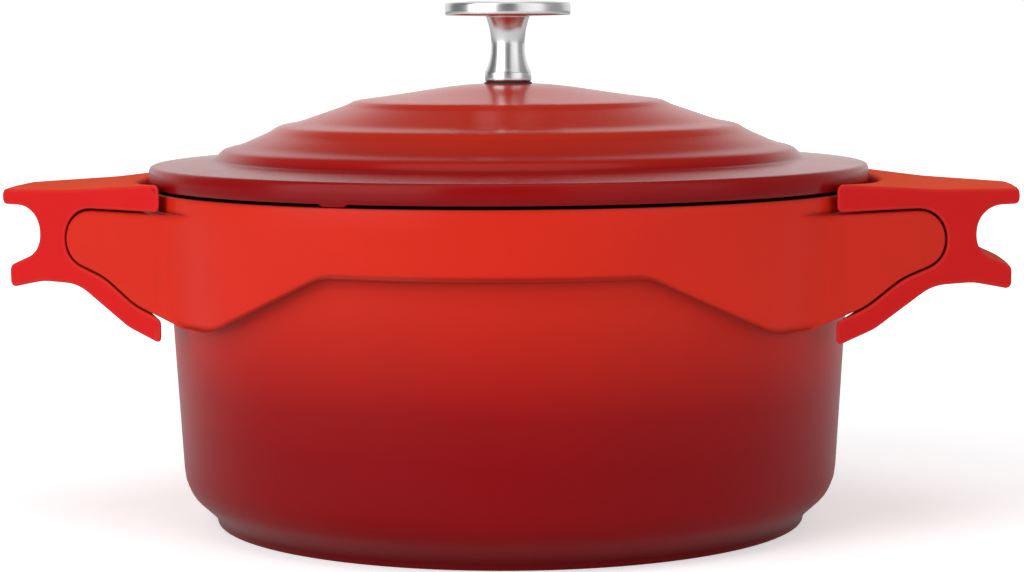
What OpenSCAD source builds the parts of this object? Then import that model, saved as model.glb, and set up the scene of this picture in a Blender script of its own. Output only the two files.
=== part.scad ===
// Round cast casserole with a stepped lid, a metal knob and two push-on silicone grips.
// Origin: centre of the foot ring, on the table. +Z up, +X towards the right grip.

/* [Pot] */
// Outside radius of the raised band at the rim, and of the lid
band_r = 128; // [110:1:150]
// Height of the rim above the table
rim_z = 119.5; // [95:0.5:150]
// Inside radius at the mouth
mouth_r = 120; // [102:1:142]
// Outside radius of the wall just above the heel
heel_r = 116.7; // [98:0.1:138]
// Wall thickness at the heel
wall_t = 3.8; // [3:0.1:6]
// Floor thickness above the recess
floor_t = 4.6; // [4:0.1:7]
// Outside radius of the foot ring
foot_r = 105.5; // [88:0.5:108]
// Width of the foot ring
foot_w = 8; // [5:0.5:14]
// Height of the foot ring below the heel slope
foot_h = 3.2; // [2:0.1:4]
// Depth of the recess inside the foot ring
recess_d = 0.8; // [0.4:0.1:1.5]

/* [Raised band] */
// How far the band's lower edge lies below the rim at the front and back
band_drop = 23; // [18:0.5:28]
// How far the band's lower edge lies below the rim at its dips beside the lugs
dip_drop = 44.2; // [38:0.2:50]
// Half width of the level stretch at the front
knee_x = 53; // [40:1:60]
// Distance of each dip inside the band's outer radius
dip_in = 34; // [28:1:40]
// Outward lean of the band from its lowest point to the rim
band_lean = 2; // [1:0.1:3]

/* [Lugs and grips] */
// Reach of a lug past the band
lug_reach = 24.3; // [20:0.1:30]
// Step from the rim down to the top of a lug
lug_step = 6.2; // [5:0.1:9]
// Height of a lug at its rounded end
lug_end_h = 19.6; // [16:0.1:24]
// Half width of a lug and grip where they leave the band
lug_half_w = 66; // [50:1:72]
// Half width of a grip at its outer end
tip_half_w = 19; // [14:1:26]
// Reach of a grip past the band
grip_reach = 52.6; // [44:0.1:62]
// Thickness of a grip's top slab at the lug's end
slab_t = 6.2; // [5:0.1:9]
// Radius of the finger groove
groove_r = 9.6; // [8:0.1:11]
// Thickness of the leg under a lug
leg_t = 7.6; // [6:0.1:10]
// Clearance between a grip and its lug
grip_gap = 0.8; // [0.4:0.1:1.5]
// Clearance between a grip and the lid's edge
lid_clear = 3; // [2:0.1:5]

/* [Lid] */
// Height of the lid's crown above the rim
crown_rise = 36.2; // [28:0.1:46]
// Thickness of the lid's shell
lid_t = 3.3; // [3:0.1:5]
// Height of the lid's outer edge
brim_h = 7; // [5:0.1:9]
// Width of the flat brim round the stepped dome
brim_w = 23; // [16:0.5:30]
// Radius of the upper step of the dome
step_1 = 55; // [44:0.5:62]
// Radius of the middle step of the dome
step_2 = 82; // [74:0.5:92]
// Gap between the rim and the lid's edge, held open by the rest pads
rim_gap = 1; // [0.6:0.1:2]
// Clearance between a rest pad and the rim
pad_clear = 0.05; // [0.02:0.01:0.2]
// Radial clearance of the locating ring inside the mouth
ring_clear = 1.2; // [0.6:0.1:2]
// Depth of the locating ring below the lid's edge
ring_h = 5.5; // [4:0.5:9]
// Width of the locating ring
ring_w = 4.5; // [3:0.5:7]
// Number of rest pads
pad_count = 3; // [3:1:6]
// Direction of the first rest pad, turned from the right grip
pad_turn = 248; // [0:1:359]
// Width of a rest pad
pad_w = 10; // [6:1:16]

/* [Knob] */
// Radius of the knob's disc
disc_r = 22.4; // [18:0.2:28]
// Thickness of the disc's edge
disc_t = 4.8; // [2.6:0.1:6]
// Height of the stem between collar and disc
stem_h = 19.9; // [18:0.2:28]
// Radius of the stem at its waist
waist_r = 6.1; // [5.4:0.1:8]
// Radius of the stem's foot and of the collar
stem_foot_r = 8.25; // [7.6:0.05:10]
// Radius of the stem's flare under the disc
flare_r = 7.8; // [7.6:0.1:12]
// Height of the collar
collar_h = 3.5; // [1.6:0.1:4]
// Thickness of the gasket under the collar
gasket_t = 0.5; // [0.5:0.1:1.5]
// Radius of the fixing screw
screw_r = 3; // [2.5:0.5:4]

/* [Hidden] */
$fn = 160;
arc_steps = 6;

// small fixed sizes
heel_round = 12;
inner_round = 17;
lug_root_in = 15;
lug_start_in = 28;
lug_end_round = 10;
side_round = 3;
tip_bow = 1.8;
tip_bow_r = 70;
overcut = 20;
boss_r = 10;
boss_t = 3;
hole_clear = 0.4;
washer_t = 1.2;
washer_clear = 0.2;
spring_t = 1.6;
stack_gap = 0.02;
head_h = 4;
disc_dome = 0.9;
bore_depth = 14;
thread_clear = 0.05;

// heights and radii that follow from the sizes above
lug_end_x = band_r + lug_reach;
lug_top_z = rim_z - lug_step;
dip_z = rim_z - dip_drop;
dip_x = band_r - dip_in;
tip_x = band_r + grip_reach;
side_slope = (lug_half_w - tip_half_w) / (grip_reach + lug_root_in);
root_x = band_r - lug_root_in;
lug_start_x = band_r - lug_start_in;
edge_z = rim_z + rim_gap;
brim_z = edge_z + brim_h;
crown_z = rim_z + crown_rise;
seat_r = stem_foot_r + 1.2;
boss_z = crown_z - lid_t - boss_t;
hole_r = screw_r + hole_clear;
head_r = 1.85 * screw_r;
washer_z = boss_z - stack_gap - washer_t;
spring_z = washer_z - spring_t;
head_z = spring_z - head_h;
gasket_z = crown_z;
collar_z = gasket_z + gasket_t;
stem_z = collar_z + collar_h;
disc_z = stem_z + stem_h;

// ---- outlines: corners are [x, y, radius], each rounded by an arc ----
function unit(v) = v / norm(v);
function at(c, i) = let (p = c[(i + len(c)) % len(c)]) [p[0], p[1]];
function arc_between(p, a, b, r) =
    let (turn = acos(max(-1, min(1, a * b))),
         back = r * tan(turn / 2),
         side = sign(a[0] * b[1] - a[1] * b[0]),
         start = p - a * back,
         centre = start + side * r * [-a[1], a[0]],
         from = atan2(start[1] - centre[1], start[0] - centre[0]))
    [for (k = [0 : arc_steps]) let (t = from + side * turn * k / arc_steps)
        centre + r * [cos(t), sin(t)]];
function rounded(c) =
    [for (i = [0 : len(c) - 1])
        let (p = at(c, i), a = unit(p - at(c, i - 1)), b = unit(at(c, i + 1) - p))
        for (q = (c[i][2] > 0 && abs(a * b) < 0.9999) ? arc_between(p, a, b, c[i][2]) : [p]) q];
// every corner of a counter-clockwise outline moved outwards by g
function grown(c, g) =
    [for (i = [0 : len(c) - 1])
        let (p = at(c, i), a = unit(p - at(c, i - 1)), b = unit(at(c, i + 1) - p),
             na = [a[1], -a[0]], nb = [b[1], -b[0]],
             q = p + g * (na + nb) / (1 + na * nb),
             convex = a[0] * b[1] - a[1] * b[0] > 0)
        [q[0], q[1], c[i][2] == 0 ? 0 : max(0.4, c[i][2] + (convex ? g : -g))]];

// lower edge of band and lug, seen from the front, from the root to the rounded end
lug_low_z = lug_top_z - lug_end_h;
lug_underside = [[root_x - 7, dip_z, 10],
                 [root_x + 11, dip_z + 6.3, 26],
                 [lug_end_x - 15.6, lug_low_z - 3, 26],
                 [lug_end_x, lug_low_z + 2.4, 9]];
band_outline = concat(
    [[0, rim_z - band_drop, 0], [knee_x, rim_z - band_drop, 14], [dip_x, dip_z, 14]],
    lug_underside,
    [[lug_end_x, rim_z + 1, 0], [0, rim_z + 1, 0]]);
lug_outline = concat(
    [[lug_start_x, dip_z, 0]],
    lug_underside,
    [[lug_end_x, lug_top_z, lug_end_round], [lug_start_x, lug_top_z, 0]]);
// outline of a grip, seen from the front: slab, two prongs round the groove, leg
groove_z = lug_top_z + 0.6 - groove_r;
grip_outline = [
    [lug_start_x, lug_top_z + slab_t + 5.4, 0],
    [lug_start_x, dip_z - leg_t - 3.9, 0],
    [root_x + 14.5, dip_z - leg_t + 6.3, 14],
    [lug_end_x - 4.3, lug_low_z - 6.3, 16],
    [tip_x - 18, lug_low_z - 6.2, 20],
    [tip_x - 3.2, lug_low_z - 9.6, 2],
    [tip_x - 3.2, groove_z - groove_r - 2.6, 2],
    [tip_x - 16.8, groove_z - groove_r + 3, groove_r * 0.9],
    [tip_x - 16.8, groove_z + groove_r, groove_r * 0.95],
    [tip_x, groove_z + groove_r, 1.6],
    [tip_x, lug_top_z + slab_t - 0.2, 1.8],
    [lug_end_x - 2, lug_top_z + slab_t + 0.8, 60]];

// ---- shared solids ----
module front_prism(outline, half) {
    rotate([90, 0, 0]) linear_extrude(height = 2 * half, center = true) polygon(rounded(outline));
}
// wedge between the two slanted side faces of a lug and its grip
function side_y(x) = lug_half_w - (x - root_x) * side_slope;
module side_wedge() {
    linear_extrude(height = 2 * rim_z)
        polygon(rounded([[lug_start_x, -side_y(lug_start_x), 0],
                         [tip_x - tip_bow / 2, -side_y(tip_x - tip_bow / 2), side_round],
                         [tip_x + tip_bow / 2, 0, tip_bow_r],
                         [tip_x - tip_bow / 2, side_y(tip_x - tip_bow / 2), side_round],
                         [lug_start_x, side_y(lug_start_x), 0]]));
}

// ---- pot ----
module pot_body() {
    rotate_extrude() polygon(rounded([
        [0, recess_d, 0], [foot_r - foot_w, recess_d, 0], [foot_r - foot_w, 0, 0],
        [foot_r, 0, 0.8], [foot_r + 0.6, foot_h, 1],
        [heel_r, foot_h + heel_r - foot_r - 0.6, heel_round],
        [mouth_r + wall_t - 0.6, rim_z, 0.4],
        [mouth_r, rim_z, 0.8], [heel_r - wall_t, floor_t, inner_round], [0, floor_t, 0]]));
}
module band_ring() {
    rotate_extrude() polygon(rounded([
        [mouth_r + 1, rim_z, 0], [heel_r - wall_t / 2, dip_z - 4, 0], [band_r - band_lean, dip_z - 4, 0],
        [band_r - band_lean / 2, rim_z - band_drop, 0], [band_r, rim_z, 1]]));
}
module lug() {
    difference() {
        intersection() {
            front_prism(lug_outline, lug_half_w + overcut);
            side_wedge();
        }
        cylinder(r = mouth_r + 2, h = 2 * rim_z);
    }
}
module pot_casting() {
    color("firebrick") union() {
        pot_body();
        for (m = [0, 1]) mirror([m, 0, 0]) {
            intersection() {
                band_ring();
                front_prism(band_outline, band_r + 5);
            }
            lug();
        }
    }
}

// ---- grips ----
module grip() {
    difference() {
        intersection() {
            front_prism(grip_outline, lug_half_w + overcut);
            side_wedge();
        }
        front_prism(grown(lug_outline, grip_gap), lug_half_w + 1.2 * overcut);
        cylinder(r = band_r + lid_clear, h = 2 * rim_z);
    }
}
module right_grip() { color("red") grip(); }
module left_grip() { color("red") mirror([1, 0, 0]) grip(); }

// ---- lid ----
// stepped dome from the knob seat to the brim, as heights above the brim
dome_h = crown_z - brim_z;
dome_foot_r = band_r - brim_w;
step_3 = dome_foot_r - 3;
dome_line = [
    [seat_r, dome_h, 0], [18, dome_h - 0.5, 0], [step_1 - 11, 0.843 * dome_h, 30],
    [step_1, 0.79 * dome_h, 2], [step_1 + 3.5, 0.735 * dome_h, 2],
    [step_2 - 7.5, 0.53 * dome_h, 5], [step_2, 0.485 * dome_h, 2], [step_2 + 4, 0.4 * dome_h, 2],
    [step_3 - 6, 0.245 * dome_h, 5], [step_3, 0.195 * dome_h, 2], [dome_foot_r, 0.07 * dome_h, 2]];
module lid_shell() {
    upper = [for (p = dome_line) [p[0], brim_z + p[1], p[2]]];
    lower = [for (i = [len(dome_line) - 1 : -1 : 0]) let (p = dome_line[i])
        [max(p[0] - lid_t * 0.3, boss_r), brim_z + p[1] - lid_t, p[2]]];
    ring_out = mouth_r - ring_clear;
    rotate_extrude() polygon(rounded(concat(
        lower,
        [[boss_r, boss_z, 0], [hole_r, boss_z, 0], [hole_r, crown_z, 0]],
        upper,
        [[band_r, brim_z, 2], [band_r, edge_z, 0.6], [ring_out, edge_z, 0.5],
         [ring_out, edge_z - ring_h, 1], [ring_out - ring_w, edge_z - ring_h, 1],
         [ring_out - ring_w, brim_z - lid_t, 2]])));
}
module rest_pads() {
    for (k = [0 : pad_count - 1])
        rotate([0, 0, pad_turn + 360 * k / pad_count])
            translate([mouth_r, -pad_w / 2, rim_z + pad_clear])
                cube([band_r - mouth_r - 0.6, pad_w, rim_gap]);
}
module lid_casting() {
    color("brown") union() {
        lid_shell();
        rest_pads();
    }
}

// ---- knob, from the lid upwards ----
module ring_of(r_in, r_out, z, h) {
    translate([0, 0, z]) difference() {
        cylinder(r = r_out, h = h);
        translate([0, 0, -1]) cylinder(r = r_in, h = h + 2);
    }
}
module knob_gasket() { color("dimgray") ring_of(hole_r, stem_foot_r + 0.3, gasket_z, gasket_t); }
module knob_collar() { color("silver") ring_of(screw_r + washer_clear, stem_foot_r, collar_z, collar_h); }
// waisted stem: the radius grows with a power of the distance from the waist
function stem_radius(t) = t < 0.5 ? waist_r + (stem_foot_r - waist_r) * pow(1 - 2 * t, 2.4)
                                  : waist_r + (flare_r - waist_r) * pow(2 * t - 1, 2.4);
module knob_stem() {
    color("silver") difference() {
        rotate_extrude() polygon(concat([[0, stem_z]],
            [for (k = [0 : 20]) [stem_radius(k / 20), stem_z + stem_h * k / 20]], [[0, disc_z]]));
        translate([0, 0, stem_z - 1]) cylinder(r = screw_r, h = bore_depth + 1);
    }
}
module knob_disc() {
    color("silver") rotate_extrude() polygon(rounded([
        [0, disc_z, 0], [flare_r, disc_z, 0], [disc_r, disc_z + 0.4, 1],
        [disc_r, disc_z + disc_t, 0.8], [disc_r * 0.6, disc_z + disc_t + 0.75 * disc_dome, 30],
        [0, disc_z + disc_t + disc_dome, 0]]));
}

// ---- screw and washers under the lid ----
module knob_screw() {
    color("gainsboro") difference() {
        union() {
            translate([0, 0, head_z]) cylinder(r = head_r, h = head_h);
            translate([0, 0, spring_z - 1])
                cylinder(r = screw_r - thread_clear, h = stem_z + bore_depth - 1 - spring_z);
        }
        translate([0, 0, head_z - 1]) cylinder(r = 0.85 * screw_r, h = head_h * 0.6 + 1, $fn = 6);
    }
}
module flat_washer() { color("gainsboro") ring_of(screw_r + washer_clear, 2.7 * screw_r, washer_z, washer_t); }
module spring_washer() {
    color("gray") difference() {
        ring_of(screw_r + washer_clear, head_r, spring_z, spring_t);
        rotate([0, 0, 40]) translate([0, -0.4, spring_z - 1]) cube([2 * head_r, 0.8, spring_t + 2]);
    }
}

pot_casting();
lid_casting();
knob_gasket();
knob_collar();
knob_stem();
knob_disc();
knob_screw();
flat_washer();
spring_washer();
left_grip();
right_grip();
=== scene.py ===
"""A round cast iron casserole in red enamel, with a stepped lid, a steel knob and two silicone grips.

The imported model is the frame: every piece below rides on one of its bodies. Lengths are in metres.
"""

import bpy
import numpy as np
from mathutils import Euler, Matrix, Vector


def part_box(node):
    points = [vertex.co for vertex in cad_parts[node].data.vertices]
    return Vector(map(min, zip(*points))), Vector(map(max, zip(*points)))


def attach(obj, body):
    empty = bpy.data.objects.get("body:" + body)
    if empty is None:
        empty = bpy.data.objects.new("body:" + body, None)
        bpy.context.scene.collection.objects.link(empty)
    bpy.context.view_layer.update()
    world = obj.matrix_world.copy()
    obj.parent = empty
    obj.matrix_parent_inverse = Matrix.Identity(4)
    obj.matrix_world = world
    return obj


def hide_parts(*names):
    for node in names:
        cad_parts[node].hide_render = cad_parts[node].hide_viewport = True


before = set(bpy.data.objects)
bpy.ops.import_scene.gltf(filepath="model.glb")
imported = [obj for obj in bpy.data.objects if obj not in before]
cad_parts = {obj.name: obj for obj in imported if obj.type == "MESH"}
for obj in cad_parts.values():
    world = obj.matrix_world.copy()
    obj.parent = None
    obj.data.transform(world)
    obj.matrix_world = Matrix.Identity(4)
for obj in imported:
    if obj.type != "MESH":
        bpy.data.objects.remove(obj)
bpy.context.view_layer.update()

# ---------------------------------------------------------------------------------------------
# Pot casting: one iron casting with a foot ring, a raised band and a lug on each side, enamelled
# red outside and satin black inside. The skin is one closed surface: a profile for each azimuth.
# ---------------------------------------------------------------------------------------------
MM = 0.001
band_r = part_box("lid_casting")[1].x
rim_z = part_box("pot_casting")[1].z
lug_end_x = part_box("pot_casting")[1].x
lug_top_z = rim_z - 6.2 * MM
lug_low_z = lug_top_z - 19.6 * MM
dip_z = rim_z - 44.2 * MM
band_low_z = rim_z - 23 * MM
root_x = band_r - 15 * MM
tip_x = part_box("right_grip")[1].x
root_half_w, tip_half_w = 66 * MM, 19 * MM
side_slope = (root_half_w - tip_half_w) / (tip_x - root_x)


def side_half_width(x):
    """Half width of a lug or grip: falls in a straight line from the root to the tip."""
    return root_half_w - (x - root_x) * side_slope


def arc_corners(corners, steps=8):
    """Outline through the corners [x, z, radius], each one replaced by an arc tangent to both sides."""
    points = np.array([c[:2] for c in corners], float)
    radii = np.array([c[2] for c in corners], float)
    came = points[1:-1] - points[:-2]
    goes = points[2:] - points[1:-1]
    came /= np.linalg.norm(came, axis=1, keepdims=True)
    goes /= np.linalg.norm(goes, axis=1, keepdims=True)
    turn = np.arctan2(came[:, 0] * goes[:, 1] - came[:, 1] * goes[:, 0], (came * goes).sum(1))
    side = np.where(turn < 0, -1.0, 1.0)
    start = points[1:-1] - came * (radii[1:-1] * np.tan(np.abs(turn) / 2))[:, None]
    normal = np.stack([-came[:, 1], came[:, 0]], 1) * (side * radii[1:-1])[:, None]
    centre = start + normal
    angle = turn[:, None] * np.linspace(0, 1, steps + 1)
    spoke = -normal[:, None, :]
    arcs = np.stack([spoke[..., 0] * np.cos(angle) - spoke[..., 1] * np.sin(angle),
                     spoke[..., 0] * np.sin(angle) + spoke[..., 1] * np.cos(angle)], -1)
    arcs += centre[:, None, :]
    return np.vstack([points[:1], arcs.reshape(-1, 2), points[-1:]])


def lengths(path):
    """Distance along each row's path: the running sum of its steps."""
    step = np.linalg.norm(np.diff(path, axis=1), axis=2)
    return np.concatenate([np.zeros((len(path), 1)), np.cumsum(step, axis=1)], axis=1)


def along(path, dist, at):
    """Points of each row's path at the distances at, by straight interpolation between its points."""
    row = np.arange(len(path))[:, None] * (dist.max() * 2 + 1)
    flat_at, flat_dist = (at + row).ravel(), (dist + row).ravel()
    parts = [np.interp(flat_at, flat_dist, path[..., k].ravel()) for k in range(path.shape[2])]
    return np.stack(parts, -1).reshape(*at.shape, path.shape[2])


def softened(path, stations, soft, fine=0.25 * MM):
    """Each station's point is the mean of the path within soft of it, so a corner turns into a curve.

    The mean is the difference of the path's running integral at the window's two ends, over its width.
    """
    dist = lengths(path)
    total = dist[:, -1:]
    steps = int(np.ceil(total.max() / fine))
    dense_dist = np.linspace(0, 1, steps + 1)[None, :] * total
    dense = along(path, dist, dense_dist)
    mean_step = (dense[:, 1:] + dense[:, :-1]) / 2 * (total / steps)[:, :, None]
    integral = np.concatenate([np.zeros_like(dense[:, :1]), np.cumsum(mean_step, axis=1)], axis=1)
    half = np.minimum(soft, np.minimum(stations, total - stations)) + 1e-6
    after = along(integral, dense_dist, np.minimum(stations + half, total))
    before = along(integral, dense_dist, np.maximum(stations - half, 0))
    width = np.minimum(stations + half, total) - np.maximum(stations - half, 0)
    return (after - before) / width[..., None]


def spaced(knots, counts):
    """Stations between the knots of each row, closer together towards every knot (half a cosine)."""
    parts = []
    for k, count in enumerate(counts):
        t = (1 - np.cos(np.linspace(0, np.pi, count + 1)[:-1])) / 2
        parts.append(knots[:, k:k + 1] + (knots[:, k + 1:k + 2] - knots[:, k:k + 1]) * t[None, :])
    return np.concatenate(parts + [knots[:, -1:]], axis=1)


def outward_turn(points, wrap_u, wrap_v):
    """Two values for each grid point. The first is how sharply the surface turns there, per millimetre: the
    change of the unit step over the mean step, along rows and columns, against the normal. Outer edges are
    positive and hollows negative. The second is the height of the unit normal, 1 where it points up."""
    steps = []
    turning = 0
    for axis, wrap in ((0, wrap_u), (1, wrap_v)):
        edge = "wrap" if wrap else "edge"
        pads = [(0, 0)] * 3
        pads[axis] = (1, 1)
        step = np.diff(np.pad(points, pads, mode=edge), axis=axis)
        size = np.linalg.norm(step, axis=2, keepdims=True)
        first = [slice(None)] * 3
        second = [slice(None)] * 3
        first[axis], second[axis] = slice(None, -1), slice(1, None)
        before, after = tuple(first), tuple(second)
        unit = step / np.maximum(size, 1e-9)
        steps.append(step[before] + step[after])
        turning = turning + (unit[after] - unit[before]) / np.maximum((size[before] + size[after]) / 2, 2e-5)
    normal = np.cross(steps[0], steps[1])
    normal /= np.maximum(np.linalg.norm(normal, axis=2, keepdims=True), 1e-12)
    return np.clip(-(turning * normal).sum(2) * MM, -1, 1), normal[..., 2]


def grid_mesh(name, points, wrap_u=False, wrap_v=False, cap_first=False, cap_last=False,
              face_first=False, face_last=False, **marks):
    """Mesh over a grid of points (rows u, columns v). Its ends are joined, or closed by a fan or a flat face.
    The marks are values from 0 to 1 at each grid point, kept as attributes for the material."""
    rows, cols = points.shape[:2]
    vertices = points.reshape(-1, 3)
    index = np.arange(rows * cols).reshape(rows, cols)
    if wrap_u:
        index = np.vstack([index, index[:1]])
    if wrap_v:
        index = np.hstack([index, index[:, :1]])
    quads = np.stack([index[:-1, :-1], index[1:, :-1], index[1:, 1:], index[:-1, 1:]], -1).reshape(-1, 4)
    faces = quads.tolist()
    for wanted, edge, turn in ((cap_first, index[:, 0], 1), (cap_last, index[:, -1], -1)):
        if wanted:
            middle = np.full(len(edge) - 1, len(vertices))
            vertices = np.vstack([vertices, vertices[edge[:-1]].mean(0)])
            faces += np.stack([edge[1:], edge[:-1], middle], -1)[:, ::turn].tolist()
    if face_first:
        faces.append(index[:-1, 0].tolist()[::-1])
    if face_last:
        faces.append(index[:-1, -1].tolist())
    mesh = bpy.data.meshes.new(name)
    mesh.from_pydata(vertices.tolist(), [], faces)
    mesh.shade_smooth()
    marks["edge"], marks["upward"] = outward_turn(points, wrap_u, wrap_v)
    for mark, values in marks.items():
        values = np.broadcast_to(values, (rows, cols)).ravel()
        values = np.append(values, np.full(len(vertices) - values.size, values[-1]))
        mesh.attributes.new(mark, "FLOAT", "POINT").data.foreach_set("value", values.astype(np.float32))
    piece = bpy.data.objects.new(name, mesh)
    bpy.context.scene.collection.objects.link(piece)
    return piece


lug_underside = [[root_x - 7 * MM, dip_z, 10 * MM], [root_x + 11 * MM, dip_z + 6.3 * MM, 26 * MM],
                 [lug_end_x - 15.6 * MM, lug_low_z - 3 * MM, 26 * MM],
                 [lug_end_x, lug_low_z + 2.4 * MM, 9 * MM]]
knee_x, dip_x = 53 * MM, band_r - 34 * MM
low_line = arc_corners([[0, band_low_z, 0], [knee_x, band_low_z, 14 * MM], [dip_x, dip_z, 14 * MM]]
                       + lug_underside + [[lug_end_x, lug_top_z - 9.9 * MM, 0]])
high_line = arc_corners([[lug_end_x, lug_top_z - 9.9 * MM, 0], [lug_end_x, lug_top_z, 9.8 * MM],
                         [0, lug_top_z, 0]])


def enamelled_pot():
    """The pot's skin. Each azimuth has a profile of radius and height: foot ring, heel, wall, underside of
    the band or lug out to its face, the face, back along the top, rim, inner wall and floor. A lug's face
    is where the azimuth's ray meets its slanted side, or its end, whichever comes first."""
    quarter = np.radians(np.concatenate([np.linspace(0, 13, 28)[:-1], np.linspace(13, 15, 9)[:-1],
                                         np.linspace(15, 40, 61)[:-1], np.linspace(40, 90, 42)]))
    half = np.concatenate([quarter, np.pi - quarter[-2::-1]])
    azimuth = np.concatenate([half, 2 * np.pi - half[-2:0:-1]])
    # c and s are the ray's cosine and sine; a least c keeps the rays to the front and back finite
    c, s = np.maximum(np.abs(np.cos(azimuth)), 0.02), np.abs(np.sin(azimuth))
    side_r = (root_half_w + root_x * side_slope) / (s + side_slope * c)
    side_r = np.where(s * side_slope > c, 0, side_r)
    fillet, band_lean = 5 * MM, 1.6 * MM
    lean = np.clip((side_r - band_r) / fillet / 2 + 0.5, 0, 1)
    face_r = band_r + (side_r - band_r) * lean + fillet * lean * (1 - lean)
    face_r = np.where(lean >= 1, side_r, face_r)
    face_x = np.minimum(face_r * c, lug_end_x)
    face_r = face_x / c

    recess_r, recess_z, foot_r = 97.5 * MM, 0.8 * MM, 105.5 * MM
    heel_r, heel_z, wall_top_r = 116.7 * MM, 12.9 * MM, 123.2 * MM
    mouth_r, floor_r, floor_z = 120 * MM, 112.9 * MM, 4.6 * MM

    def wall_r(z):
        """Radius of the outer wall, which widens in a straight line from the heel to the rim."""
        return heel_r + (wall_top_r - heel_r) * (z - heel_z) / (rim_z - heel_z)

    # where the underside meets the wall, found by four rounds of substitution
    low_x, low_z = low_line[:, 0], low_line[:, 1]
    meet_r = np.full_like(c, wall_top_r)
    for _ in range(4):
        meet_r = wall_r(np.interp(np.minimum(meet_r * c, root_x), low_x, low_z))
    meet_x = meet_r * c

    low_dist = lengths(low_line[None])[0]
    high_dist = lengths(high_line[None])[0]
    flat_from = np.interp(meet_x, low_x, low_dist)
    flat_to = np.where(face_x >= lug_end_x, low_dist[-1], np.interp(face_x, low_x, low_dist))
    t = np.linspace(0, 1, 40)[None, :]
    at = flat_from[:, None] * (1 - t) + flat_to[:, None] * t
    under_x, under_z = np.interp(at, low_dist, low_x), np.interp(at, low_dist, low_z)
    under_r = under_x / c[:, None]
    under_r[:, 0], under_r[:, -1] = meet_r, face_r
    back_from = np.where(face_x >= lug_end_x, 0, np.interp(-face_x, -high_line[:, 0], high_dist))
    back_to = np.interp(-np.minimum(band_r * c, face_x), -high_line[:, 0], high_dist)
    at = back_from[:, None] * (1 - t) + back_to[:, None] * t
    top_r = np.interp(at, high_dist, high_line[:, 0]) / c[:, None]
    top_z = np.interp(at, high_dist, high_line[:, 1])
    top_r[:, 0] = face_r
    # the band leans out towards the rim; a lug's faces stand upright
    on_band = np.clip((band_r + fillet / 2 - face_r) / fillet * 2, 0, 1)

    def everywhere(points):
        """The same points in every azimuth's profile."""
        return np.broadcast_to(points, (len(c), len(points), 2))

    base = everywhere([[0, recess_z], [recess_r, recess_z], [recess_r, 0], [foot_r, 0],
                       [foot_r + 0.6 * MM, 3.2 * MM], [heel_r, heel_z]])
    underside = np.stack([under_r, under_z], -1)
    underside[:, -1, 0] -= on_band * band_lean
    top = np.stack([top_r, top_z], -1)
    lining = everywhere([[band_r, rim_z], [mouth_r, rim_z], [floor_r, floor_z], [0, floor_z]])
    path = np.concatenate([base, underside, top, lining], axis=1)
    dist = lengths(path)
    under_at = base.shape[1]
    top_at, lining_at = under_at + t.size, under_at + 2 * t.size
    knot_at = [*range(under_at + 1), top_at - 1, top_at, lining_at - 1, *range(lining_at, lining_at + 4)]
    # steps in each part between two knots, and each knot's softening window in millimetres
    counts = [3, 4, 8, 7, 12, 14, 22, 18, 18, 8, 14, 18, 14]
    window = [1, 0.4, 0.6, 0.8, 2.2, 7, 1.4, 1.3, 1.3, 1.0, 0.9, 1.2, 20, 1]
    knots = dist[:, knot_at]
    # a part that has shrunk to nothing keeps a little skin, so that its faces do not collapse
    least_skin = 0.8 * MM
    short = np.maximum(least_skin - np.diff(knots[:, 7:10]), 0) / 2
    knots[:, 7:9] -= short
    knots[:, 8:10] += short
    stations = spaced(knots, counts)
    soft_at = np.array(window) * MM
    # a window is widest at its own corner, and never reaches the corners beside it
    soft = along(np.broadcast_to(soft_at, knots.shape)[..., None], knots, stations)[..., 0]
    section = softened(path, stations, soft)
    radius, height = section[..., 0], section[..., 1]
    radius[:, [0, -1]] = 0.2 * MM
    points = np.stack([radius * np.cos(azimuth)[:, None], radius * np.sin(azimuth)[:, None], height], -1)
    # the black ground coat shows under the base and from the rim's land inwards
    near = 0.6 * MM
    under_base = np.clip((knots[:, 3:4] + near - stations) / near, 0, 1)
    inside = np.clip((stations - knots[:, -4:-3]) / near, 0, 1)
    return grid_mesh("pot_enamel", points, wrap_u=True, cap_first=True, cap_last=True,
                     lining=np.maximum(under_base, inside),
                     raised=np.clip((stations - knots[:, 7:8]) / (3 * MM) + 1, 0, 1))


def shader(name):
    """A new material with only its Principled shader."""
    material = bpy.data.materials.new(name)
    material.use_nodes = True
    return material


def add(tree, kind, links=None, **settings):
    """Adds a node, sets its properties and then its inputs. An input takes a number, colour or socket."""
    node = tree.nodes.new("ShaderNode" + kind)
    for name, value in settings.items():
        setattr(node, name, value)
    for name, value in (links or {}).items():
        socket = node.inputs[name]
        if isinstance(value, bpy.types.NodeSocket):
            tree.links.new(value, socket)
        else:
            socket.default_value = value
    return node


def ramp(tree, factor, stops):
    """Colour ramp over stops of (position, colour)."""
    node = add(tree, "ValToRGB", {"Fac": factor})
    elements = node.color_ramp.elements
    while len(elements) < len(stops):
        elements.new(0.5)
    for element, (place, colour) in zip(elements, stops):
        element.position = place
        element.color = (*colour, 1)
    return node.outputs["Color"]


def maths(tree, operation, a, b=0.0, c=0.0, clamp=False):
    """A Math node's output for a and b, and c where the operation takes three."""
    return add(tree, "Math", {0: a, 1: b, 2: c}, operation=operation, use_clamp=clamp).outputs[0]


def blend(tree, factor, a, b):
    """Mixes two colours by a factor."""
    node = add(tree, "Mix", {"Factor": factor}, data_type="RGBA")
    for name, value in (("A", a), ("B", b)):
        socket = [s for s in node.inputs if s.name == name and s.type == "RGBA"][0]
        if isinstance(value, bpy.types.NodeSocket):
            tree.links.new(value, socket)
        else:
            socket.default_value = (*value[:3], 1)
    return [s for s in node.outputs if s.type == "RGBA"][0]


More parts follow.
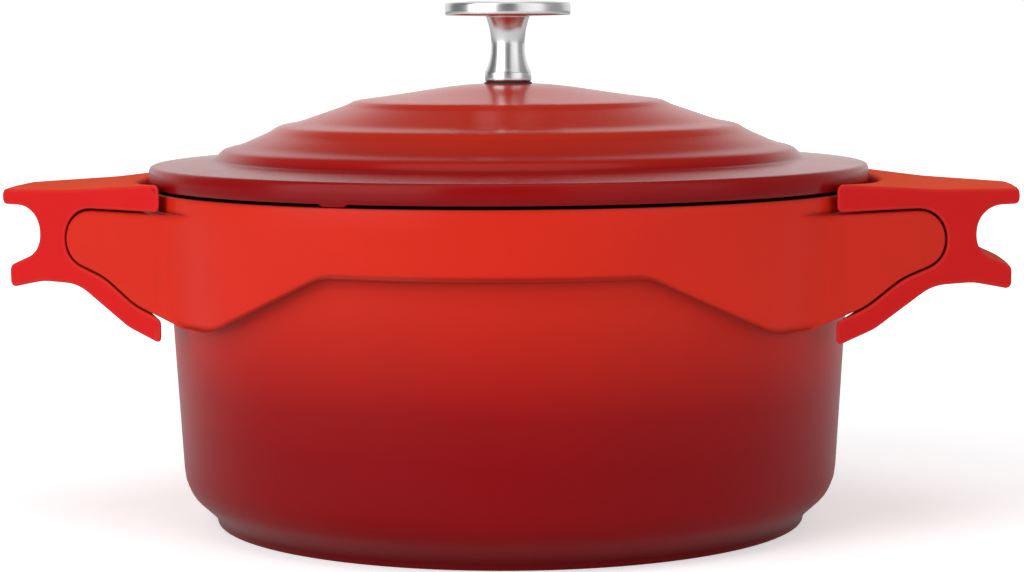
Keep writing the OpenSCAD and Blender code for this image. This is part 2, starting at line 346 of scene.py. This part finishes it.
def group_sockets(tree, inputs, outputs):
    """Gives a group its named sockets. Inputs map names to a default value; a tuple means a colour."""
    for name, default in inputs.items():
        kind = "NodeSocketColor" if isinstance(default, tuple) else "NodeSocketFloat"
        socket = tree.interface.new_socket(name, in_out="INPUT", socket_type=kind)
        socket.default_value = default
    for name, kind in outputs.items():
        tree.interface.new_socket(name, in_out="OUTPUT", socket_type="NodeSocket" + kind)
    return tree.nodes.new("NodeGroupInput").outputs, tree.nodes.new("NodeGroupOutput").inputs


def fired_enamel_group():
    """Shared by every enamelled face: cloudy colour, fine orange peel, thin glaze on outer edges where the
    ground coat shows through, darker hollows that are partly pooled glaze and partly painted shade, and faint
    rubbing marks in the gloss."""
    tree = bpy.data.node_groups.new("fired_enamel", "ShaderNodeTree")
    given, wanted = group_sockets(
        tree, {"Color": (0.6, 0.03, 0.02, 1), "Edge Color": (0.1, 0.01, 0.01, 1), "Roughness": 0.35,
               "Cloud": 0.06, "Edge Wear": 0.3, "Pooled Glaze And Shade": 0.75},
        {"Color": "Color", "Roughness": "Float", "Height": "Float"})
    place = add(tree, "TexCoord").outputs["Object"]
    cloud = add(tree, "TexNoise", {"Vector": place, "Scale": 28.0, "Detail": 3.0, "Roughness": 0.55})
    peel = add(tree, "TexNoise", {"Vector": place, "Scale": 420.0, "Detail": 1.0})
    speck = add(tree, "TexNoise", {"Vector": place, "Scale": 1500.0, "Detail": 2.0})
    rubbed = add(tree, "TexNoise", {"Vector": place, "Scale": 9.0, "Detail": 6.0, "Roughness": 0.7})
    edge = add(tree, "Attribute", attribute_name="edge").outputs["Fac"]
    shade = maths(tree, "MULTIPLY_ADD", cloud.outputs["Fac"], 2.0, -1.0)
    shade = maths(tree, "MULTIPLY_ADD", shade, given["Cloud"], 1.0)
    cloudy = add(tree, "VectorMath", {0: given["Color"], "Scale": shade}, operation="SCALE").outputs["Vector"]
    worn = maths(tree, "MULTIPLY_ADD", speck.outputs["Fac"], 1.2, -0.55)
    worn = maths(tree, "MULTIPLY_ADD", edge, 1.5, worn)
    worn = maths(tree, "SUBTRACT", worn, 0.35, clamp=True)
    worn = maths(tree, "MULTIPLY", worn, given["Edge Wear"], clamp=True)
    # hollows are darkened to a third: partly glaze pooled there, partly painted shade in the creases
    pooled_glaze_and_shade = maths(tree, "MULTIPLY", edge, -2.2, clamp=True)
    pooled_glaze_and_shade = maths(tree, "MULTIPLY", pooled_glaze_and_shade, given["Pooled Glaze And Shade"], clamp=True)
    glaze_and_shade_dark = add(tree, "VectorMath", {0: cloudy, "Scale": 0.35}, operation="SCALE").outputs["Vector"]
    colour = blend(tree, worn, cloudy, given["Edge Color"])
    colour = blend(tree, pooled_glaze_and_shade, colour, glaze_and_shade_dark)
    gloss = maths(tree, "MULTIPLY_ADD", rubbed.outputs["Fac"], 0.16, -0.08)
    gloss = maths(tree, "ADD", gloss, given["Roughness"])
    gloss = maths(tree, "MULTIPLY_ADD", worn, 0.2, gloss, clamp=True)
    tree.links.new(colour, wanted["Color"])
    tree.links.new(gloss, wanted["Roughness"])
    height = maths(tree, "MULTIPLY_ADD", speck.outputs["Fac"], 0.12, peel.outputs["Fac"])
    tree.links.new(height, wanted["Height"])
    return tree


fired_enamel = fired_enamel_group()


def finished(material, colour, roughness, height, relief, **constants):
    """Joins a surface's colour, roughness and height to the Principled shader. Relief is in metres."""
    tree = material.node_tree
    principled = tree.nodes["Principled BSDF"]
    bump = add(tree, "Bump", {"Height": height, "Distance": relief, "Strength": 1.0})
    tree.links.new(colour, principled.inputs["Base Color"])
    tree.links.new(roughness, principled.inputs["Roughness"])
    tree.links.new(bump.outputs["Normal"], principled.inputs["Normal"])
    for name, value in constants.items():
        principled.inputs[name.replace("_", " ")].default_value = value
    return material


def enamel(name, outer_stops, raised_colour, roughness, cloud=0.06):
    """Enamel whose outer colour changes with height. Raised faces have one colour; the lining is black."""
    material = shader(name)
    tree = material.node_tree
    wander_h, ramp_h = 12 * MM, 160 * MM
    place = add(tree, "TexCoord").outputs["Object"]
    height = add(tree, "SeparateXYZ", {0: place}).outputs["Z"]
    wander = add(tree, "TexNoise", {"Vector": place, "Scale": 7.0})
    height = maths(tree, "MULTIPLY_ADD", wander.outputs["Fac"], wander_h, height)
    share = maths(tree, "MULTIPLY_ADD", height, 1 / ramp_h, -wander_h / 2 / ramp_h)
    outer = ramp(tree, share, outer_stops)
    outer = blend(tree, add(tree, "Attribute", attribute_name="raised").outputs["Fac"], outer, raised_colour)
    lining = add(tree, "Attribute", attribute_name="lining").outputs["Fac"]
    colour = blend(tree, lining, outer, (0.012, 0.011, 0.011))
    coat = add(tree, "Group", node_tree=fired_enamel)
    tree.links.new(colour, coat.inputs["Color"])
    coat.inputs["Edge Color"].default_value = (0.16, 0.012, 0.01, 1)
    tree.links.new(maths(tree, "MULTIPLY_ADD", lining, 0.12, roughness), coat.inputs["Roughness"])
    coat.inputs["Cloud"].default_value = cloud
    return finished(material, coat.outputs["Color"], coat.outputs["Roughness"], coat.outputs["Height"],
                    0.015 * MM, Specular_IOR_Level=0.12)


pot = enamelled_pot()
pot.data.materials.append(enamel("pot_ombre_enamel", [
    (0.03, (0.15, 0.0, 0.001)), (0.12, (0.22, 0.0, 0.002)), (0.22, (0.235, 0.0, 0.002)),
    (0.32, (0.28, 0.002, 0.003)), (0.43, (0.43, 0.01, 0.005)), (0.54, (0.55, 0.018, 0.007)),
    (0.8, (0.62, 0.02, 0.007))], (0.63, 0.02, 0.007), 0.34))
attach(pot, "pot")
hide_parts("pot_casting")

# ---------------------------------------------------------------------------------------------
# Lid casting: a stepped dome of even thickness with a heavy edge, a ring underneath that drops
# inside the mouth, and three small pads that keep its edge off the rim. Satin red enamel.
# ---------------------------------------------------------------------------------------------
crown_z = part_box("knob_gasket")[0].z
brim_z = rim_z + 8 * MM
edge_z = rim_z + 1 * MM
dome_h = crown_z - brim_z


def turned(profile, azimuth, close_loop=False, finest=1.1 * MM):
    """Profile of [radius, height, softness] corners turned about the axis. The profile runs with the metal
    on its left. Each corner is softened over its own window, and long sides get more stations."""
    profile = np.array(profile, float)
    path = profile[None, :, :2]
    if close_loop:
        path = np.concatenate([path, path[:, :1]], axis=1)
    windows = profile[:, 2]
    if close_loop:
        windows = np.append(windows, windows[0])
    dist = lengths(path)
    counts = np.clip(np.diff(dist[0]) / finest, 4, 26).astype(int)
    stations = spaced(dist, counts)
    soft = along(windows[None, :, None], dist, stations)[..., 0]
    section = softened(path, stations, soft, fine=0.1 * MM)[0]
    if close_loop:
        section = section[:-1]
    radius, height = section[:, 0], section[:, 1]
    corner = np.interp(stations[0], dist[0], np.arange(dist.shape[1]))[:len(radius)]
    return np.stack([radius * np.cos(azimuth)[:, None], radius * np.sin(azimuth)[:, None],
                     np.broadcast_to(height, (len(azimuth), len(height)))], -1), corner


def lid_skin():
    """The lid's closed skin: boss, underside of the dome, locating ring, edge, brim, three steps, crown."""
    shell_t, hole_r, boss_r, boss_h = 3.3 * MM, 3.4 * MM, 10 * MM, 3 * MM
    ring_out, ring_w, ring_h = 118.8 * MM, 4.5 * MM, 5.5 * MM
    step_1, step_2, foot = 55 * MM, 82 * MM, band_r - 23 * MM
    step_3 = foot - 3 * MM
    # corners of the dome's outside: radius, share of the dome's height and softening window
    dome = np.array([
        [9.45 * MM, 1, 0.5 * MM], [19 * MM, 0.978, 7 * MM], [step_1 - 11 * MM, 0.843, 9 * MM],
        [step_1, 0.795, 1.9 * MM], [step_1 + 3 * MM, 0.737, 1.8 * MM],
        [step_2 - 7 * MM, 0.53, 3 * MM], [step_2, 0.487, 1.9 * MM], [step_2 + 3.6 * MM, 0.404, 1.8 * MM],
        [step_3 - 6 * MM, 0.242, 3 * MM], [step_3, 0.196, 1.9 * MM], [foot, 0.075, 2 * MM]])
    upper = np.stack([dome[:, 0], brim_z + dome[:, 1] * dome_h, dome[:, 2]], 1)
    # the inside lies a shell's thickness lower, and less than a third of that further in
    lower = upper - [0.3 * shell_t, shell_t, 0]
    lower[:, 0] = np.maximum(lower[:, 0], boss_r)
    boss_z = crown_z - shell_t - boss_h
    under = [[hole_r, boss_z, 0.2 * MM], [boss_r - 1 * MM, boss_z, 0.5 * MM], *lower.tolist(),
             [ring_out - ring_w, brim_z - shell_t, 2 * MM], [ring_out - ring_w, edge_z - ring_h, 0.8 * MM],
             [ring_out, edge_z - ring_h, 0.8 * MM], [ring_out, edge_z, 0.8 * MM]]
    outside = [[band_r, edge_z, 0.7 * MM], [band_r, brim_z, 1.9 * MM]]
    pad_turn, pad_half, pad_end, pad_h = np.radians(248), 5.4 * MM, 1.6 * MM, 0.93 * MM
    around = [np.linspace(0, 2 * np.pi, 337)[:-1]]
    for pad in range(3):
        around.append(pad_turn + 2 * np.pi * pad / 3 + np.radians(np.linspace(-3, 3, 17)))
    azimuth = np.unique(np.round(np.concatenate(around) % (2 * np.pi), 5))
    points, corner = turned(under + outside + upper[::-1].tolist() + [[hole_r, crown_z, 0.2 * MM]], azimuth,
                            close_loop=True)
    radius = np.hypot(points[..., 0], points[..., 1])
    # a pad lowers the land under the edge by almost the whole gap, with sloping ends
    land_r, land_h = ring_out + 1.2 * MM, 0.9 * MM
    nearest = np.abs((azimuth[:, None] - pad_turn + np.pi / 3) % (2 * np.pi / 3) - np.pi / 3)
    slope = np.clip((pad_half - nearest * band_r) / pad_end, 0, 1)
    inset = np.clip((radius - land_r) / MM, 0, 1)
    low = np.clip((edge_z + land_h - points[..., 2]) / land_h, 0, 1)
    points[..., 2] -= pad_h * slope * slope * (3 - 2 * slope) * inset * low
    lining = np.clip((len(under) - corner) * 8, 0, 1)
    return grid_mesh("lid_enamel", points, wrap_u=True, wrap_v=True, lining=lining)


lid = lid_skin()
lid.data.materials.append(enamel("lid_red_enamel", [
    (0.76, (0.215, 0.001, 0.003)), (0.81, (0.33, 0.005, 0.004)), (0.87, (0.45, 0.02, 0.006)),
    (1.0, (0.53, 0.02, 0.006))], (0.3, 0.006, 0.004), 0.23, cloud=0.04))
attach(lid, "lid")
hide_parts("lid_casting")

# ---------------------------------------------------------------------------------------------
# Knob: turned stainless steel. A flat disc on a waisted stem, a short collar below the seam, and
# a thin dark gasket that keeps the steel off the enamel. One screw holds the stack.
# ---------------------------------------------------------------------------------------------
collar_box, stem_box, disc_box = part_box("knob_collar"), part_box("knob_stem"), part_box("knob_disc")
collar_r = collar_box[1].x
stem_low, stem_high = stem_box[0].z, stem_box[1].z
fine_turn = np.linspace(0, 2 * np.pi, 129)[:-1]


def knob_ring(name, node, low_edge, high_edge):
    """A plain ring, as high and wide as its solid, with its lower and upper edges softened."""
    low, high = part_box(node)
    bore = 3.3 * MM
    corners = [[bore, low.z, 0.1 * MM], [high.x, low.z, low_edge], [high.x, high.z, high_edge],
               [bore, high.z, 0.1 * MM]]
    return grid_mesh(name, turned(corners, fine_turn, True, finest=0.4 * MM)[0], wrap_u=True, wrap_v=True)


def knob_stem_skin():
    """The stem's radius is its waist plus a power of the height's distance from the waist, in two parts."""
    t = np.linspace(0, 1, 40)
    waist_r, flare_r = 5.95 * MM, 7.8 * MM
    below = waist_r + (collar_r - waist_r) * np.clip(1 - 2 * t, 0, 1) ** 2.3
    above = (flare_r - waist_r) * np.clip(2 * t - 1, 0, 1) ** 2
    side = np.stack([below + above, stem_low + (stem_high - stem_low) * t, np.full_like(t, 0.12 * MM)], 1)
    corners = [[0.1 * MM, stem_low, 0], *side.tolist(), [0.1 * MM, stem_high, 0]]
    return grid_mesh("knob_stem_steel", turned(corners, fine_turn, finest=0.5 * MM)[0], wrap_u=True,
                     cap_first=True, cap_last=True)


def knob_disc_skin():
    """The disc: slightly coned below, slightly domed above, with a rounded rolled edge."""
    low, high = disc_box[0].z, disc_box[1].z
    rim_r, dome = disc_box[1].x, 0.9 * MM
    corners = [[0.1 * MM, low, 0], [7 * MM, low, 1 * MM], [rim_r, low + 0.4 * MM, 0.8 * MM],
               [rim_r, high - dome, 0.7 * MM], [rim_r * 0.6, high - 0.3 * dome, 5 * MM], [0.1 * MM, high, 0]]
    return grid_mesh("knob_disc_steel", turned(corners, fine_turn, finest=0.6 * MM)[0], wrap_u=True,
                     cap_first=True, cap_last=True)


def turned_steel_group():
    """Lathe marks: fine rings that follow height on upright faces and radius on flat ones, with small
    breaks, plus faint smears in the polish."""
    tree = bpy.data.node_groups.new("turned_steel", "ShaderNodeTree")
    given, wanted = group_sockets(tree, {"Roughness": 0.2, "Ring Depth": 0.5},
                                  {"Color": "Color", "Roughness": "Float", "Height": "Float"})
    place = add(tree, "TexCoord").outputs["Object"]
    parts = add(tree, "SeparateXYZ", {0: place}).outputs
    flat = add(tree, "CombineXYZ", {"X": parts["X"], "Y": parts["Y"]}).outputs[0]
    radius = add(tree, "VectorMath", {0: flat}, operation="LENGTH").outputs["Value"]
    path = maths(tree, "ADD", radius, parts["Z"])
    rings = add(tree, "TexNoise", {"W": path, "Scale": 5200.0, "Detail": 3.0, "Roughness": 0.6},
                noise_dimensions="1D").outputs["Fac"]
    smear = add(tree, "TexNoise", {"Vector": place, "Scale": 90.0, "Detail": 5.0}).outputs["Fac"]
    rough = maths(tree, "MULTIPLY_ADD", smear, 0.1, -0.05)
    rough = maths(tree, "ADD", rough, given["Roughness"])
    rough = maths(tree, "MULTIPLY_ADD", rings, 0.08, rough)
    edge = add(tree, "Attribute", attribute_name="edge").outputs["Fac"]
    rubbed = maths(tree, "MULTIPLY", edge, 0.6, clamp=True)
    colour = blend(tree, rings, (0.6, 0.59, 0.585), (0.72, 0.715, 0.71))
    colour = blend(tree, rubbed, colour, (0.8, 0.8, 0.8))
    tree.links.new(colour, wanted["Color"])
    tree.links.new(rough, wanted["Roughness"])
    tree.links.new(maths(tree, "MULTIPLY", rings, given["Ring Depth"]), wanted["Height"])
    return tree


turned_steel = turned_steel_group()


def steel(name, roughness, ring_depth):
    """Bare stainless steel with lathe marks."""
    material = shader(name)
    grain = add(material.node_tree, "Group", node_tree=turned_steel)
    grain.inputs["Roughness"].default_value = roughness
    grain.inputs["Ring Depth"].default_value = ring_depth
    return finished(material, grain.outputs["Color"], grain.outputs["Roughness"], grain.outputs["Height"],
                    0.004 * MM, Metallic=1.0, Anisotropic=0.85)


knob_steel = steel("knob_polished_steel", 0.16, 0.5)
knob_pieces = [(knob_disc_skin(), "knob_disc"), (knob_stem_skin(), "knob_stem"),
               (knob_ring("knob_collar_steel", "knob_collar", 1.1 * MM, 0.25 * MM), "knob_collar")]
for piece, node in knob_pieces:
    piece.data.materials.append(knob_steel)
    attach(piece, "lid")
    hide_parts(node)


def rubber(name):
    """Black rubber with a dusty bloom and a fine moulded grain."""
    material = shader(name)
    tree = material.node_tree
    place = add(tree, "TexCoord").outputs["Object"]
    bloom = add(tree, "TexNoise", {"Vector": place, "Scale": 300.0, "Detail": 4.0}).outputs["Fac"]
    grain = add(tree, "TexNoise", {"Vector": place, "Scale": 2400.0}).outputs["Fac"]
    edge = add(tree, "Attribute", attribute_name="edge").outputs["Fac"]
    colour = blend(tree, bloom, (0.012, 0.012, 0.012), (0.035, 0.033, 0.032))
    colour = blend(tree, maths(tree, "MULTIPLY", edge, 0.5, clamp=True), colour, (0.07, 0.066, 0.062))
    rough = maths(tree, "MULTIPLY_ADD", bloom, 0.2, 0.55)
    return finished(material, colour, rough, grain, 0.02 * MM)


gasket = knob_ring("knob_gasket_rubber", "knob_gasket", 0.2 * MM, 0.2 * MM)
gasket.data.materials.append(rubber("gasket_black_rubber"))
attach(gasket, "lid")
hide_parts("knob_gasket")

# ---------------------------------------------------------------------------------------------
# Grips: red silicone sleeves, moulded in one piece each. A slab over the lug, a web with a finger
# groove and two prongs at the end, and a leg under the lug. They push on from the ends.
# ---------------------------------------------------------------------------------------------
grip_gap, lid_clear = 0.8 * MM, 3 * MM
slab_top_z = lug_top_z + 6.2 * MM
groove_r = 9.6 * MM
groove_z = lug_top_z + 0.6 * MM - groove_r
leg_t = 7.6 * MM
inner_x = band_r - 28 * MM
grip_outer = arc_corners([
    [inner_x, slab_top_z + 5.4 * MM, 0], [lug_end_x - 2 * MM, slab_top_z + 0.8 * MM, 60 * MM],
    [tip_x, slab_top_z - 0.2 * MM, 1.8 * MM], [tip_x, groove_z + groove_r, 1.6 * MM],
    [tip_x - 16.8 * MM, groove_z + groove_r, 9.1 * MM],
    [tip_x - 16.8 * MM, groove_z - groove_r + 3 * MM, 8.6 * MM],
    [tip_x - 3.2 * MM, groove_z - groove_r - 2.6 * MM, 2 * MM],
    [tip_x - 3.2 * MM, lug_low_z - 9.6 * MM, 2 * MM], [tip_x - 18 * MM, lug_low_z - 6.2 * MM, 20 * MM],
    [lug_end_x - 4.3 * MM, lug_low_z - 6.3 * MM, 16 * MM],
    [root_x + 14.5 * MM, dip_z - leg_t + 6.3 * MM, 14 * MM], [inner_x, dip_z - leg_t - 3.9 * MM, 0]])
# the inside follows the lug at the grip's gap
grip_inner = arc_corners([
    [inner_x, lug_top_z + grip_gap, 0], [lug_end_x + grip_gap, lug_top_z + grip_gap, 10.8 * MM],
    [lug_end_x + grip_gap, lug_low_z + 1.8 * MM, 9.8 * MM],
    [lug_end_x - 15.2 * MM, lug_low_z - 3.75 * MM, 25.2 * MM],
    [root_x + 11.4 * MM, dip_z + 5.6 * MM, 26.8 * MM], [root_x - 6.9 * MM, dip_z - grip_gap, 9.2 * MM],
    [inner_x, dip_z - grip_gap, 0]])


def grip_skin(name, side):
    """A grip's closed skin: a closed loop round its side outline, carried from its front to its back face.

    A loop at share s of the width lies at y = s times (the half width less the edge's rounding). Its inner
    ends stop where x squared plus y squared equals the square of the clearance radius about the pot's axis.
    At each face the loop then shrinks inwards by r (1 - cos a) while y grows by r sin a."""
    clear_r = band_r + lid_clear
    edge_r, edge_rows, width_rows = 1.1 * MM, 7, 46
    angle = np.radians(np.linspace(0, 90, edge_rows + 1))
    share = np.concatenate([np.full(edge_rows, -1.0), np.linspace(-1, 1, width_rows), np.ones(edge_rows)])
    turn = np.concatenate([-angle[:0:-1], np.zeros(width_rows), angle[1:]])
    # twelve rounds of substitution find where each loop meets the clearance cylinder
    cut_x = np.full_like(share, clear_r)
    for _ in range(12):
        cut_y = np.abs(share) * (side_half_width(cut_x) - edge_r)
        cut_x = np.sqrt(clear_r ** 2 - cut_y ** 2)

    def station_line(line, knots, counts):
        """Points along a line, packed towards its knots, which are shares of its length. The first and the
        last point lie on the clearance cylinder."""
        dist = lengths(line[None])[0]
        far = np.nonzero(line[:, 0] > lug_end_x)[0]
        near, back = slice(0, far[0] + 1), slice(far[-1], None)
        first = np.interp(cut_x, line[near, 0], dist[near])
        last = np.interp(-cut_x, -line[back, 0], dist[back])
        between = [np.full_like(first, k * dist[-1]) for k in knots]
        at = spaced(np.stack([first, *between, last], 1), counts)
        return np.stack([np.interp(at, dist, line[:, 0]), np.interp(at, dist, line[:, 1])], -1)

    outer = station_line(grip_outer, [0.33, 0.47, 0.62, 0.8], [24, 34, 60, 50, 44])
    inner = station_line(grip_inner, [0.3, 0.52], [40, 56, 60])[:, ::-1]
    start = (outer[:, :1] + inner[:, -1:]) / 2
    loop = np.concatenate([start, outer, inner, start], axis=1)
    dist = lengths(loop)
    turn_at = outer.shape[1]
    knots = dist[:, [0, 1, turn_at, turn_at + 1, -2, -1]]
    stations = spaced(knots, [6, 220, 8, 150, 6])
    # the loop's four corners, where its two lines begin and end, are softened more than the lines
    soft = np.full_like(stations, 0.35 * MM)
    for k, window in ((1, 3 * MM), (2, 2.8 * MM), (3, 1.6 * MM), (4, 2.1 * MM)):
        reach = np.clip(2.5 - np.abs(stations - knots[:, k:k + 1]) / window, 0, 1)
        soft = np.maximum(soft, window * reach)
    loop = softened(loop, stations, soft, fine=0.12 * MM)[:, :-1]
    along_loop = np.roll(loop, -1, axis=1) - np.roll(loop, 1, axis=1)
    along_loop /= np.linalg.norm(along_loop, axis=2, keepdims=True)
    inwards = np.stack([along_loop[..., 1], -along_loop[..., 0]], -1)
    shrink = (edge_r * (1 - np.cos(turn)))[:, None, None]
    rounded = loop + inwards * shrink
    x, z = rounded[..., 0], rounded[..., 1]
    # the ends of the prongs bow outwards in plan
    bow_length, bow = 12 * MM, 1 * MM
    nearness = np.clip((x - tip_x + bow_length) / bow_length, 0, 1)
    x = x - bow * nearness ** 2 * share[:, None] ** 2
    y = share[:, None] * (side_half_width(x) - edge_r) + (edge_r * np.sin(turn))[:, None]
    points = np.stack([x * side, y, z], -1).transpose(1, 0, 2)
    if side < 0:
        points = points[:, ::-1]
    return grid_mesh(name, points, wrap_u=True, face_first=True, face_last=True)


def silicone(name):
    """Matte moulded silicone: fine spark-eroded grain, painted top light turning upper faces orange, paler
    rubbed edges.
    """
    material = shader(name)
    tree = material.node_tree
    place = add(tree, "TexCoord").outputs["Object"]
    cloud = add(tree, "TexNoise", {"Vector": place, "Scale": 40.0, "Detail": 3.0}).outputs["Fac"]
    grain = add(tree, "TexNoise", {"Vector": place, "Scale": 1900.0, "Detail": 2.0}).outputs["Fac"]
    edge = add(tree, "Attribute", attribute_name="edge").outputs["Fac"]
    upward = add(tree, "Attribute", attribute_name="upward").outputs["Fac"]
    colour = blend(tree, cloud, (0.6, 0.013, 0.013), (0.66, 0.016, 0.016))
    # painted top light: faces that point up are coloured orange, as if lit from above
    lit = maths(tree, "MULTIPLY_ADD", upward, 2.5, -1.4, clamp=True)
    colour = blend(tree, lit, colour, (0.8, 0.062, 0.009))
    rubbed = maths(tree, "MULTIPLY", maths(tree, "MULTIPLY", edge, grain), 0.5, clamp=True)
    colour = blend(tree, rubbed, colour, (0.75, 0.06, 0.05))
    rough = maths(tree, "MULTIPLY_ADD", cloud, 0.15, 0.68)
    return finished(material, colour, rough, grain, 0.03 * MM, Specular_IOR_Level=0.12, IOR=1.3)


grip_silicone = silicone("grip_red_silicone")
for name, node, side in (("left_grip_silicone", "left_grip", -1), ("right_grip_silicone", "right_grip", 1)):
    grip = grip_skin(name, side)
    grip.data.materials.append(grip_silicone)
    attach(grip, node)
    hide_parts(node)

# ---------------------------------------------------------------------------------------------
# Screw and washers under the lid: bright zinc on the screw and the flat washer, darker spring steel
# on the split washer. Their solids are right as they are and only take a finish.
# ---------------------------------------------------------------------------------------------
for node, roughness, depth in (("knob_screw", 0.28, 0.4), ("flat_washer", 0.32, 1.0),
                               ("spring_washer", 0.42, 1.0)):
    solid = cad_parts[node]
    solid.data.materials.clear()
    solid.data.materials.append(steel(node + "_steel", roughness, depth))

# ---------------------------------------------------------------------------------------------
# Studio: a pale floor, a large softbox on either side and one above, and the camera. The backdrop
# is white and lit low down, and the room in front of it is dim, with a paler wall on the right.
# ---------------------------------------------------------------------------------------------
def smooth_range(tree, value, start, end, top=1.0):
    """Rises smoothly from 0 to top while the value goes from start to end."""
    node = add(tree, "MapRange", {"Value": value, "From Min": start, "From Max": end, "To Max": top},
               interpolation_type="SMOOTHSTEP")
    return node.outputs["Result"]


world = bpy.data.worlds.new("studio")
bpy.context.scene.world = world
world.use_nodes = True
sky = world.node_tree
way = add(sky, "SeparateXYZ", {0: add(sky, "TexCoord").outputs["Generated"]}).outputs
backdrop = smooth_range(sky, way["Y"], 0.4, 0.72)
low = maths(sky, "SUBTRACT", 1.0, smooth_range(sky, way["Z"], 0.3, 0.6))
right_wall = smooth_range(sky, way["X"], 0.5, 0.9, top=0.3)
lit = maths(sky, "MAXIMUM", maths(sky, "MULTIPLY", backdrop, low), right_wall)
# the eye sees the backdrop white all round; only the light it gives falls off
lit = maths(sky, "MAXIMUM", lit, add(sky, "LightPath").outputs["Is Camera Ray"])
shine = sky.nodes["Background"].inputs
sky.links.new(blend(sky, lit, (0.14, 0.14, 0.15), (1.0, 1.0, 1.0)), shine["Color"])
shine["Strength"].default_value = 1.03


def softbox(name, place, target, width, height, power):
    """A rectangular area light that faces its target."""
    lamp = bpy.data.lights.new(name, "AREA")
    lamp.shape = "RECTANGLE"
    lamp.size, lamp.size_y = width, height
    lamp.energy = power
    light = bpy.data.objects.new(name, lamp)
    light.location = place
    light.rotation_euler = (Vector(target) - Vector(place)).to_track_quat("-Z", "Y").to_euler()
    light.visible_camera = False
    bpy.context.scene.collection.objects.link(light)


softbox("left_softbox", (-1.5, -1.5, 1.5), (0, 0, 1.5), 2.1, 2.98, 54)
softbox("right_softbox", (1.58, -1.42, 1.5), (0, 0, 1.5), 2.1, 2.98, 20)
softbox("top_softbox", (0, -0.25, 1.5), (0, 0, 0.1), 1.4, 1.0, 6)

camera = bpy.data.objects.new("camera", bpy.data.cameras.new("camera"))
camera.location = (0.0708, -0.9975, 0.182)
heading, tilt, roll = np.radians([4.002, 84.34, -0.29])
aim = Euler((tilt, 0, heading), "XYZ").to_matrix() @ Euler((0, 0, roll)).to_matrix()
camera.rotation_euler = aim.to_euler()
camera.data.sensor_width = 36
camera.data.lens = 98.086
camera.data.clip_end = 20
bpy.context.scene.collection.objects.link(camera)
bpy.context.scene.camera = camera
bpy.context.scene.view_settings.view_transform = "Standard"

# the floor glows for the eye only, more with distance, so that it fades into the white backdrop
floor_mesh = bpy.data.meshes.new("floor")
floor_mesh.from_pydata([(-6, -6, 0), (6, -6, 0), (6, 6, 0), (-6, 6, 0)], [], [(0, 1, 2, 3)])
floor = bpy.data.objects.new("floor", floor_mesh)
floor_paper = shader("floor_paper")
tree = floor_paper.node_tree
place = add(tree, "TexCoord").outputs["Object"]
fibres = add(tree, "TexNoise", {"Vector": place, "Scale": 260.0, "Detail": 3.0}).outputs["Fac"]
away = add(tree, "VectorMath", {0: place}, operation="LENGTH").outputs["Value"]
glow = maths(tree, "MULTIPLY_ADD", smooth_range(tree, away, 0.3, 1.2), 0.5, 0.4)
glow = maths(tree, "MULTIPLY", glow, add(tree, "LightPath").outputs["Is Camera Ray"])
tree.links.new(blend(tree, glow, (0.14, 0.14, 0.14), (1.0, 1.0, 1.0)),
               tree.nodes["Principled BSDF"].inputs["Emission Color"])
finished(floor_paper, blend(tree, fibres, (0.86, 0.86, 0.86), (0.88, 0.88, 0.88)),
         maths(tree, "MULTIPLY_ADD", fibres, 0.1, 0.75), fibres, 0.02 * MM, Emission_Strength=1.0)
floor_mesh.materials.append(floor_paper)
bpy.context.scene.collection.objects.link(floor)
